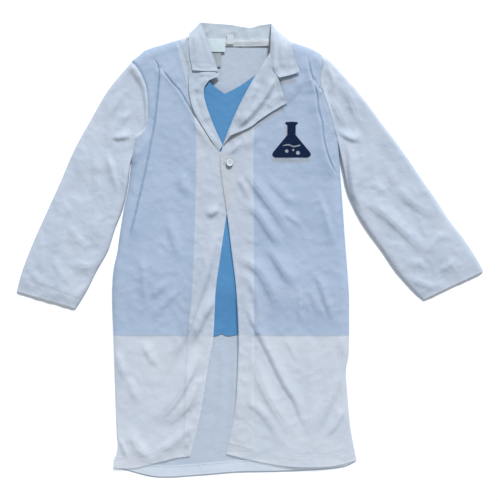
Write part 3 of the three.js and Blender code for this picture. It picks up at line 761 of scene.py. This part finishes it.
def sleeve(name, shape, side, nodes, seed):
    """A flattened tube from the armhole seam to the cuff, round at its two long edges."""
    count = 170
    outer, inner = (resample(smooth(shape[k], 3), count) for k in ("outer", "inner"))
    rim = [0.004, 0.012, 0.022, 0.036, 0.05]
    across = np.unique(np.concatenate([np.linspace(0, 1, 56), rim, 1 - np.array(rim)]))
    seam = resample(smooth(shape["seam"], 2), 1001)[np.round(across * 1000).astype(int)]
    chord = outer[0] + (inner[0] - outer[0]) * across[:, None]
    torso_height = right_height if side < 0 else left_height
    length = np.linalg.norm(np.diff((outer + inner) / 2, axis=0), axis=1).sum()
    rows = []
    for i, u in enumerate(np.linspace(0, 1, count)):
        line = outer[i] + (inner[i] - outer[i]) * across[:, None]
        line = line + (seam - chord) * (1 - step01(u / 0.3))
        width = np.linalg.norm(inner[i] - outer[i])
        edge = np.minimum(across, 1 - across) * width
        x, y = line[:, 0], line[:, 1]
        own = SLEEVE_Z + 1.3 * noise(x, y, 55, seed) + 0.7 * noise(x, y, 24, seed + 1)
        own = own + 1.4 * creased(x, y, SLEEVE_CREASES, 0.3) + 1.1 * rumple(x, y, seed)
        from_cuff = (1 - u) * length
        own = own - 0.4 * np.exp(-((from_cuff - CUFF_HEM) / 1.5) ** 2)
        own = own - 1.8 * step01(1 - from_cuff / 24)
        mix = step01(u * length / 16)
        z = torso_height(x, y) * (1 - mix) + own * mix
        high = SLEEVE_EDGE_Z + (z - SLEEVE_EDGE_Z) * rounded(edge, 9)
        low = SLEEVE_EDGE_Z - (SLEEVE_EDGE_Z - 0.5) * rounded(edge, 5)
        top = np.column_stack([line, high])
        bottom = np.column_stack([line, low])
        rows.append(np.vstack([top, bottom[-2:0:-1]]))
    ring = len(rows[0])
    faces = np.array([
        (i * ring + j, i * ring + (j + 1) % ring, (i + 1) * ring + (j + 1) % ring, (i + 1) * ring + j)
        for i in range(count - 1) for j in range(ring)
    ])
    if side > 0:
        faces = faces[:, ::-1]
    made = piece(name, *thickened(np.vstack(rows), faces, SINGLE), white_sleeve)
    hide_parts(*nodes)
    # A rectangle of the mean girth holds more than the tapered cloth; its width and direction are worked out
    # below but not used. The declared sheet is a rectangle of the mean girth, which holds more than the
    # tapered cloth.
    width = 2 * np.mean(np.linalg.norm(outer - inner, axis=1))
    middle = (np.array(shape["outer"][0]) + np.array(shape["inner"][0])) / 2
    direction = (outer[70] + inner[70]) / 2 - middle
    direction /= np.linalg.norm(direction)
    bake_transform(made)


def sleeve_nodes(name):
    """The CAD nodes that one sleeve takes the place of."""
    return [name + part for part in ("_front", "_back", "_fold", "_seam")] + ["sleeve_hem_" + name[7:]]


sleeve("sleeve_right_cloth", SLEEVE_RIGHT, -1, sleeve_nodes("sleeve_right"), 31)
sleeve("sleeve_left_cloth", SLEEVE_LEFT, 1, sleeve_nodes("sleeve_left"), 41)

# ------------------------------------------------------------------ collar and lapels
def near_line(x, y, line, width):
    """1 on a line, falling to 0 beside it."""
    return np.exp(-(to_line(x, y, smooth(line, 6))[0] / width) ** 2)


LAPEL_LEFT_FREE = [(48, 290), (55, 265), (64, 249), (37, 233), (16, 219), (0, 207), (-32, 193)]
LAPEL_CREASES = [
    (3.0, 2.0, 10, [(46, 289), (39, 277), (31, 262), (16, 241), (-2, 220), (-20, 202)]),
    (1.6, 7, 5, [(12, 282), (0, 256), (-8, 234), (-14, 212)]),
    (1.2, 5, 5, [(58, 262), (44, 254), (30, 240)]),
]
lapel_left_edge = outline(ROLL_LEFT, [(34, 333), (38, 315), (40, 303)], [(40, 303), (48, 290)],
                          LAPEL_LEFT_FREE[:3], LAPEL_LEFT_FREE[2:], [(-32, 193), (-46, 176)], step=2.5)


def lapel_left_height(x, y):
    """The lapel lies on the left front, round at its roll line and lifted at its free edge."""
    d = to_line(x, y, smooth(ROLL_LEFT, 8))[0]
    roll = 2.4 * np.exp(-((d - 8) / 10) ** 2) - 3.4 * (1 - rounded(d, 4))
    lift = 1.9 * near_line(x, y, LAPEL_LEFT_FREE, 5)
    creases = 2.0 * creased(x, y, LAPEL_CREASES, 0.5, 0.15)
    return left_height(x, y) + 1.3 + roll + lift + creases + 0.6 * rumple(x, y, 5)


lapel_left = cloth("lapel_left_cloth", lapel_left_edge, lapel_left_height, white_cloth,
                   thickness=DOUBLE,
                   replaces=["lapel_left", "lapel_left_facing"], step=2.5)
fold(lapel_left)

LEAF_LEFT_LOWER = [(84, 300), (70, 295), (49, 290)]
LEAF_LEFT_OUTER = [(36, 384), (44, 373), (54, 364), (64, 357)]
LEAF_LEFT_SIDE = [(64, 357), (69, 344), (74, 330), (80, 312), (84, 300)]
LEAF_LEFT_CREASES = [
    (1.8, 2.2, 5, [(42, 376), (43, 352), (43, 326), (44, 296)]),
    (1.2, 6, 4, [(54, 362), (54, 336), (56, 306)]),
    (0.9, 4, 4, [(62, 348), (66, 326), (70, 306)]),
]
leaf_left_edge = outline(LEAF_LEFT_OUTER, LEAF_LEFT_SIDE, LEAF_LEFT_LOWER,
                         [(49, 290), (40, 303), (36, 318), (34, 333)],
                         [(34, 333), (35, 358), (36, 384)], step=2.5)


def leaf_left_height(x, y):
    """The leaf lies over the shoulder, and falls to the floor at its outer edge."""
    rest = left_height(np.asarray(x, float), np.minimum(y, 330)) + 1.8
    outer = to_line(x, y, smooth(LEAF_LEFT_OUTER, 6))[0]
    z = 3.2 + (rest - 3.2) * rounded(outer, 24) - 3.0 * (1 - rounded(x - 33, 5))
    lift = 2.6 * near_line(x, y, LEAF_LEFT_LOWER, 6) + 1.0 * near_line(x, y, LEAF_LEFT_SIDE, 4)
    return z + lift + 1.8 * creased(x, y, LEAF_LEFT_CREASES, 0.4, 0.15) + 0.7 * rumple(x, y, 6)


leaf_left = cloth("collar_leaf_left_cloth", leaf_left_edge, leaf_left_height, white_cloth,
                  thickness=DOUBLE,
                  replaces=["collar_leaf_left", "collar_leaf_left_under", "collar_side_left"], step=2.5)
fold(leaf_left)

LAPEL_RIGHT_FREE = [(-46, 177), (-62, 212), (-74, 245), (-78, 264), (-77, 275), (-69, 287)]
lapel_right_edge = outline(ROLL_RIGHT, [(-52, 167), (-46, 177)], LAPEL_RIGHT_FREE,
                           [(-69, 287), (-60, 291), (-51, 296)], [(-51, 296), (-53, 302)],
                           [(-53, 302), (-84, 302), (-94, 306)], [(-94, 306), (-98, 340), (-107, 361)],
                           step=2.5)
LAPEL_RIGHT_CREASES = [
    (1.6, 3, 5, [(-101, 300), (-100, 268), (-94, 240), (-82, 214), (-66, 190), (-54, 172)]),
    (1.2, 5, 3, [(-72, 292), (-84, 282), (-94, 268)]),
    (1.0, 4, 4, [(-88, 262), (-80, 240), (-70, 216)]),
    (1.2, 3, 3, [(-86, 298), (-72, 296), (-56, 297)]),
]


def lapel_right_height(x, y):
    """The lapel lies on the right front, and sags into the neck opening beyond it."""
    x, y = np.asarray(x, float), np.asarray(y, float)
    sag = 4.0 * step01((x + 92) / 38) * step01((y - 284) / 14)
    roll = to_line(x, y, smooth(ROLL_RIGHT, 8))[0]
    under = right_height(np.minimum(x, -57), np.minimum(y, 335))
    creases = 2.0 * creased(x, y, LAPEL_RIGHT_CREASES, 0.5, 0.15)
    return under + 1.0 - sag - 1.3 * np.exp(-(roll / 2.5) ** 2) + creases + 0.5 * rumple(x, y, 7)


lapel_right = cloth("lapel_right_cloth", lapel_right_edge, lapel_right_height, white_cloth,
                    thickness=DOUBLE,
                    replaces=["lapel_right", "lapel_right_facing"], step=2.5)
fold(lapel_right)

LEAF_RIGHT_OUTER = [(-84, 386), (-92, 377), (-103, 367)]
LEAF_RIGHT_LOWER = [(-97, 303), (-75, 302), (-54, 303)]
LEAF_RIGHT_FREE = [(-54, 303), (-60, 322), (-67, 340), (-74, 361), (-84, 386)]
leaf_right_edge = outline(LEAF_RIGHT_OUTER, [(-103, 367), (-103, 348), (-102, 330), (-97, 303)],
                          LEAF_RIGHT_LOWER, LEAF_RIGHT_FREE, step=2.5)
LEAF_RIGHT_CREASES = [
    (0.9, 2, 2, [(-90, 311), (-76, 310), (-65, 311)]),
    (0.9, 2, 2, [(-65, 311), (-70, 328), (-78, 352), (-86, 372)]),
    (1.2, 5, 5, [(-96, 366), (-90, 350), (-88, 330), (-92, 312)]),
]


def leaf_right_height(x, y):
    """The leaf lies on the lapel, sags into the neck opening, and ends on the floor behind."""
    outer = to_line(x, y, smooth(LEAF_RIGHT_OUTER, 6))[0]
    z = 14.2 - 5.2 * step01((x + 94) / 34) - 1.6 * (1 - rounded(-x - 51 - 0.35 * (y - 303), 3))
    z = 3.4 + (z - 3.4) * rounded(outer, 26)
    creases = 1.8 * creased(x, y, LEAF_RIGHT_CREASES, 0.5, 0.15)
    return z + 1.2 * near_line(x, y, LEAF_RIGHT_LOWER, 4) + creases + 0.8 * rumple(x, y, 8)


leaf_right = cloth("collar_leaf_right_cloth", leaf_right_edge, leaf_right_height, white_cloth,
                   thickness=DOUBLE,
                   replaces=["collar_leaf_right", "collar_leaf_right_under", "collar_side_right"], step=2.5)
fold(leaf_right)

band_edge = outline([(-84, 386), (-60, 384), (-32, 382), (-1, 377), (16, 381), (36, 384)],
                    [(36, 384), (37, 353)], [(37, 353), (-18, 353), (-71, 355), (-100, 361)],
                    [(-100, 361), (-103, 367)], [(-103, 367), (-92, 377), (-84, 386)], step=3)


def band_height(x, y):
    """The band lies low behind the neck and lifts along the neck seam."""
    return 2.2 + 0.5 * noise(x, y, 30, 7) + 1.7 * rumple(x, y, 9) + 1.2 * near_line(x, y, NECK_SEAM, 4)


cloth("collar_back_band", band_edge, band_height, white_band, thickness=DOUBLE,
      replaces=["collar_back_outer", "collar_back_inner"], body="torso", step=2.5)
cloth("neck_seam_tape", strip(NECK_SEAM[1:4], -7.5, 3), raised(band_height, 0.7), white_tape,
      replaces=["neck_tape"], body="torso", step=3, cut=(0.0105, 0.105))

# ------------------------------------------------------------------ seam allowances, labels
for side, line in (("right", SIDE_RIGHT[1:-1]), ("left", SIDE_LEFT[::-1][1:-1])):
    cloth("side_seam_allowance_" + side, strip(line, 0.8, 10), raised(back_height, 0.7),
          white_cloth, replaces=["side_seam_" + side], body="torso", step=5)


def rectangle(x0, x1, y0, y1):
    """The outline of a label."""
    corners = [(x0, y0), (x1, y0), (x1, y1), (x0, y1)]
    return outline(*zip(corners, corners[1:] + corners[:1]), step=3)


LABELS = [
    ("brand_label", rectangle(-72, -42, 336, 357), 4.6, 0.5, 8, satin),
    ("care_label", rectangle(-65, -49, 311, 340), 3.0, 0.4, 9, grey_label),
    ("size_tab", rectangle(-39, -28, 349, 366), 5.0, 0.3, 10, white_tape),
]
for name, edge, high, wave, seed, material in LABELS:
    cloth(name + "_blank", edge, lambda x, y: high + wave * noise(x, y, 12, seed), material,
          thickness=0.3, replaces=[name], body="torso", step=2.5)

# ------------------------------------------------------------------ floor, light, camera
DAYLIGHT = (0.86, 0.92, 1.0)
SUN_STRENGTH = 4.8
SUN_ANGLE = 0.16  # how wide the sun is, in radians: it sets how soft the shadows are
SUN_DIRECTION = (-1.0, -3.6, -2.6)  # it shines from the top of the picture, about 35 degrees high
FILL_POWER = 28
SKY_STRENGTH = 0.41


def area_light(name, place, size, power, color):
    """A round light that points at the middle of the floor."""
    light = bpy.data.lights.new(name, "AREA")
    light.shape = "DISK"
    light.size = size
    light.energy = power
    light.color = color
    lamp = bpy.data.objects.new(name, light)
    lamp.location = place
    lamp.rotation_euler = Vector((-place[0], -place[1], -place[2])).to_track_quat("-Z", "Y").to_euler()
    bpy.context.scene.collection.objects.link(lamp)


floor_material = new_material("floor_paint", (0.93, 0.93, 0.93), 0.9)[0]
floor_mesh = bpy.data.meshes.new("floor")
floor_mesh.from_pydata([(-8, -8, 0), (8, -8, 0), (8, 8, 0), (-8, 8, 0)], [], [(0, 1, 2, 3)])
floor_mesh.materials.append(floor_material)
floor = bpy.data.objects.new("floor", floor_mesh)
bpy.context.scene.collection.objects.link(floor)

sun = bpy.data.lights.new("key", "SUN")
sun.energy = SUN_STRENGTH
sun.angle = SUN_ANGLE
sun.color = DAYLIGHT
lamp = bpy.data.objects.new("key", sun)
lamp.rotation_euler = Vector(SUN_DIRECTION).to_track_quat("-Z", "Y").to_euler()
bpy.context.scene.collection.objects.link(lamp)
area_light("fill", (-2.4, -2.0, 4.0), 3.0, FILL_POWER, DAYLIGHT)
world = bpy.data.worlds.new("studio")
world.use_nodes = True
world.node_tree.nodes["Background"].inputs["Color"].default_value = (*DAYLIGHT, 1)
world.node_tree.nodes["Background"].inputs["Strength"].default_value = SKY_STRENGTH
bpy.context.scene.world = world
bpy.context.scene.view_settings.view_transform = "Standard"

CAMERA_HEIGHT = 1.9
FRAME_WIDTH = 0.8466  # how much of the floor the picture is wide
camera_data = bpy.data.cameras.new("camera")
camera_data.sensor_fit = "HORIZONTAL"
camera_data.sensor_width = 36
camera_data.lens = 36 * CAMERA_HEIGHT / FRAME_WIDTH
camera = bpy.data.objects.new("camera", camera_data)
camera.location = (-0.0017, -0.0009, CAMERA_HEIGHT)
bpy.context.scene.collection.objects.link(camera)
bpy.context.scene.camera = camera

# ------------------------------------------------------------------ button and buttonhole
middle = slit.mean(0)
half = SLIT[0] / 2
bars = []
for x in np.arange(-half - 0.6, half + 0.7, 0.7):
    for side in (-1, 1):
        bars.append((middle + (x, side * 0.5), middle + (x, side * 2.4)))
for y in np.arange(-2.2, 2.3, 0.7):
    for side in (-1, 1):
        bars.append((middle + (side * (half + 0.4), y), middle + (side * (half + 2.0), y)))
hole_stitches = stitches("buttonhole_stitches", bars, left_height, width=0.6, nodes=["buttonhole_stitch"])
hem_stitches_left = stitches("hem_stitches_left", dashes(shifted(HEM_LEFT, 19)), left_height)
edge_stitches_left = stitches("edge_stitches_left", dashes(shifted(EDGE_LEFT[1:], 2.2)), left_height)
for made in (hole_stitches, hem_stitches_left, edge_stitches_left):
    fold(made)
hem_stitches_right = stitches("hem_stitches_right", dashes(shifted(HEM_RIGHT[::-1], 19)), right_height)
fold(hem_stitches_right)
stitches("neck_stitches", dashes([(-84, 282), (-66, 262), (-43, 247), (-16, 262), (8, 281)]), insert_height,
         body="torso", material=blue_thread)
stitches("shirt_hem_stitches", dashes([(150, -138), (-30, -138), (-214, -138)]), insert_height, body="torso",
         material=blue_thread)
stitches("hem_stitches_back", dashes(shifted(BACK_HEM, 18)), raised(back_height, 0.9), body="torso")
for node, finish in (("button", plastic), ("button_thread", thread)):
    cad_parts[node].data.materials.clear()
    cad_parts[node].data.materials.append(finish)

# ------------------------------------------------------------------ chest emblem
def circle(x, y, radius, count=20):
    """A circle as a closed outline."""
    turn = np.linspace(0, 2 * np.pi, count, endpoint=False)
    return np.column_stack([x + radius * np.cos(turn), y + radius * np.sin(turn)])


EMBLEM = (70, 186)
flask = outline(
    [(-9, 30), (0, 30.4), (9, 30)], [(9, 30), (11, 28), (9, 26), (7, 24)], [(7, 24), (7, 8)],
    [(7, 8), (31, -21)], [(31, -21), (32.5, -26), (28, -30)], [(28, -30), (-28, -30)],
    [(-28, -30), (-32.5, -26), (-31, -21)],
    [(-31, -21), (-7, 8)], [(-7, 8), (-7, 24)], [(-7, 24), (-9, 26), (-11, 28), (-9, 30)], step=1.5,
) + EMBLEM
liquid = outline([(-14, -9), (-5, -7), (4, -10), (14, -8)], [(14, -8), (15.5, -10)],
                 [(15.5, -10), (4, -12.5), (-5, -9.5), (-15.5, -11)],
                 [(-15.5, -11), (-14, -9)], step=1.5) + EMBLEM
BUBBLES = [(-8, -19, 3), (3, -17, 2), (11, -22, 3.4)]  # place from the emblem's middle, and radius
bubbles = [circle(*np.add(EMBLEM, (dx, dy)), radius) for dx, dy, radius in BUBBLES]
cloth("chest_emblem_film", flask, raised(left_height, 0.55), navy, thickness=0.15, step=1.8,
      replaces=["chest_emblem"], body="torso", holes=[liquid, *bubbles],
      cut=(0.062, 0.062))
